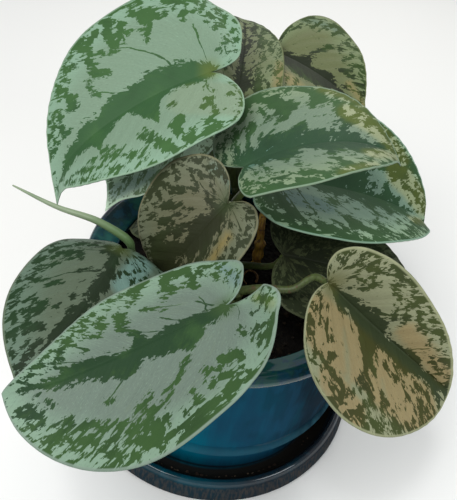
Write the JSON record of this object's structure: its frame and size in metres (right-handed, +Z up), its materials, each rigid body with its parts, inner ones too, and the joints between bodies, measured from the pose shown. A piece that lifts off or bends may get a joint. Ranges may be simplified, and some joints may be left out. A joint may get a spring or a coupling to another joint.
{
  "type": "potted satin pothos",
  "caption": "Trailing houseplant with silver-splashed heart-shaped leaves, rooted in soil in a glazed round pot on its glazed saucer",
  "frame": {"origin": "centre of the saucer's flat underside", "axes": "+Z up along the pot's axis, +Y away from the viewer toward the rearmost leaf, +X to the viewer's right"},
  "size_m": [0.191, 0.2557, 0.171],
  "materials": {
    "saucer_glaze": "deep blue-teal ceramic glaze, glossy",
    "pot_glaze": "deep blue-teal ceramic glaze, glossy",
    "soil": "dark crumbly potting mix, matt",
    "vine": "green-brown living stem, satin",
    "dry_sheath": "orange-brown dry sheath, matt",
    "new_leaf": "pale green young leaf, satin",
    "leaf": "green with silver splashes, satin",
    "shaded_leaf": "dim olive green with silver splashes, satin"
  },
  "bodies": {
    "root": {"saucer": "saucer_glaze", "pot": "pot_glaze", "soil": "soil", "vine_back": "vine", "vine_middle": "vine", "vine_left": "vine", "vine_front": "vine", "vine_right": "dry_sheath", "tendril": "dry_sheath", "new_leaf": "new_leaf", "leaf_upper_left": "leaf", "leaf_upper_right": "leaf", "leaf_lower_right": "leaf", "leaf_left": "leaf", "leaf_front": "leaf", "leaf_lower_front": "leaf", "leaf_back": "shaded_leaf", "leaf_back_right": "shaded_leaf", "leaf_centre": "shaded_leaf", "leaf_under_right": "shaded_leaf", "leaf_under_left": "shaded_leaf", "leaf_under_centre": "shaded_leaf"}
  },
  "joints": []
}
